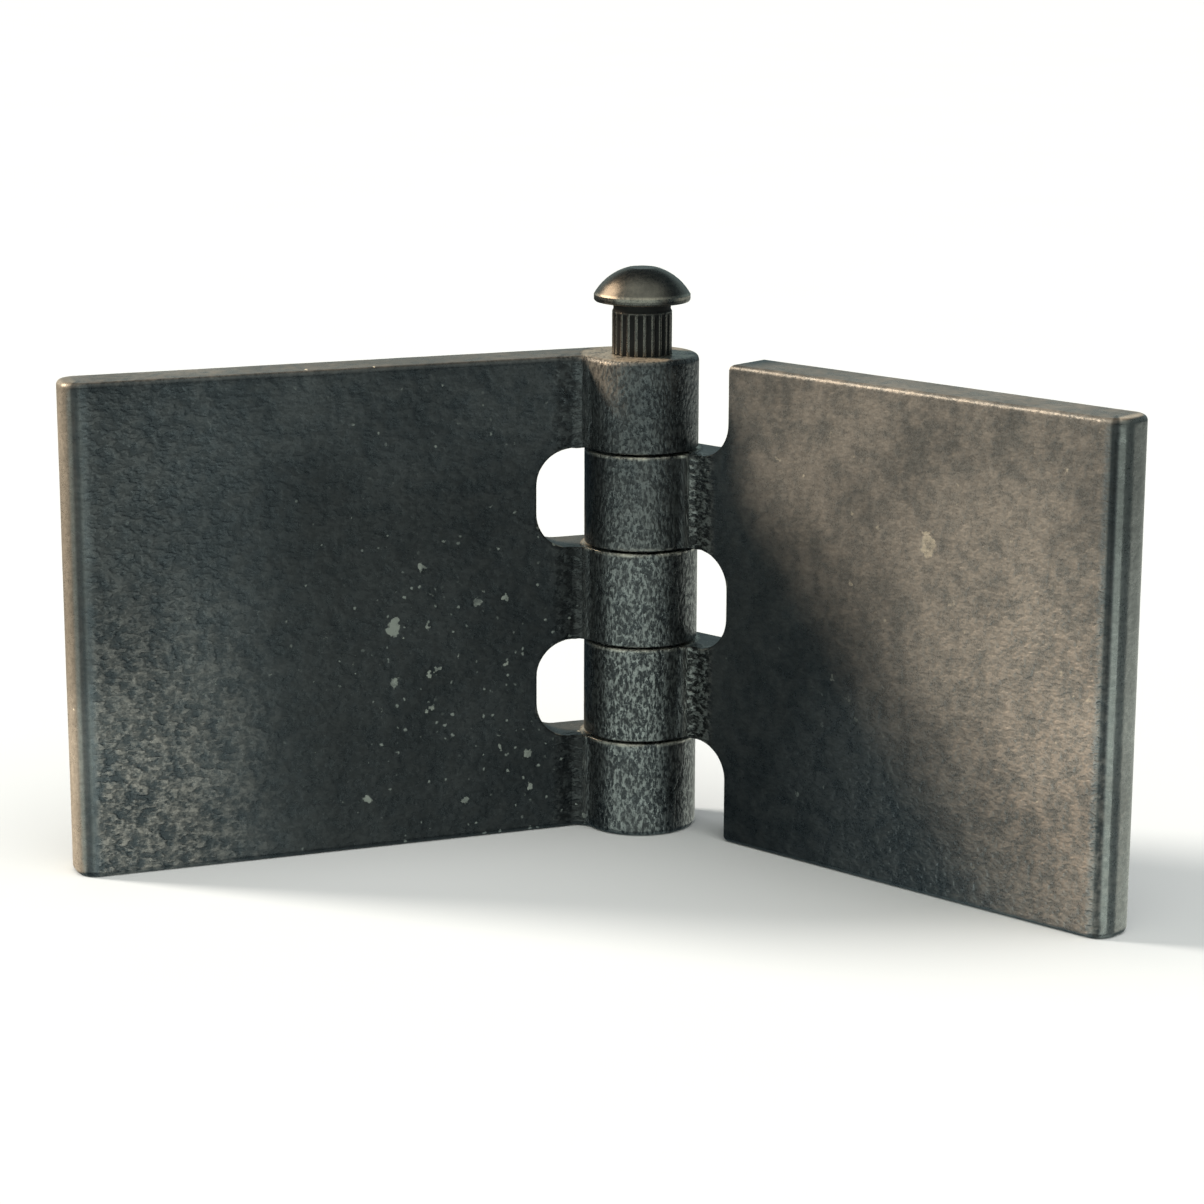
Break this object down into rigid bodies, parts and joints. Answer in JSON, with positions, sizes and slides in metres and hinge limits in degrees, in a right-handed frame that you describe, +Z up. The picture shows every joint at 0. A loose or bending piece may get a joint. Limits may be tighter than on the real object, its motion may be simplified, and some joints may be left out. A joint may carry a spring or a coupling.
{
  "type": "car door hinge",
  "caption": "Plain steel weld-on car door hinge: leaves with interleaved knuckles and rounded notches on a domed pin whose serrated band stands proud of the barrel.",
  "frame": {"origin": "on the pin's axis, level with the bottom faces of the leaves", "axes": "+Z up the pin's axis towards its head; +Y out of the pillar leaf's mounting face; the pillar leaf lies along -X"},
  "size_m": [0.1218, 0.0769, 0.0791],
  "materials": {
    "leaf_steel": "raw mill-scaled steel, dark and mottled",
    "pin_steel": "dark oiled steel, smooth"
  },
  "bodies": {
    "pillar_side": {"pillar_leaf": "leaf_steel", "hinge_pin": "pin_steel"},
    "door_side": {"door_leaf": "leaf_steel"}
  },
  "joints": [
    {"name": "door_swing", "type": "hinge", "parent": "pillar_side", "child": "door_side", "pos_m": [0, 0, 0], "axis": [0, 0, 1], "range_deg": [-116.7, 153.3]}
  ]
}
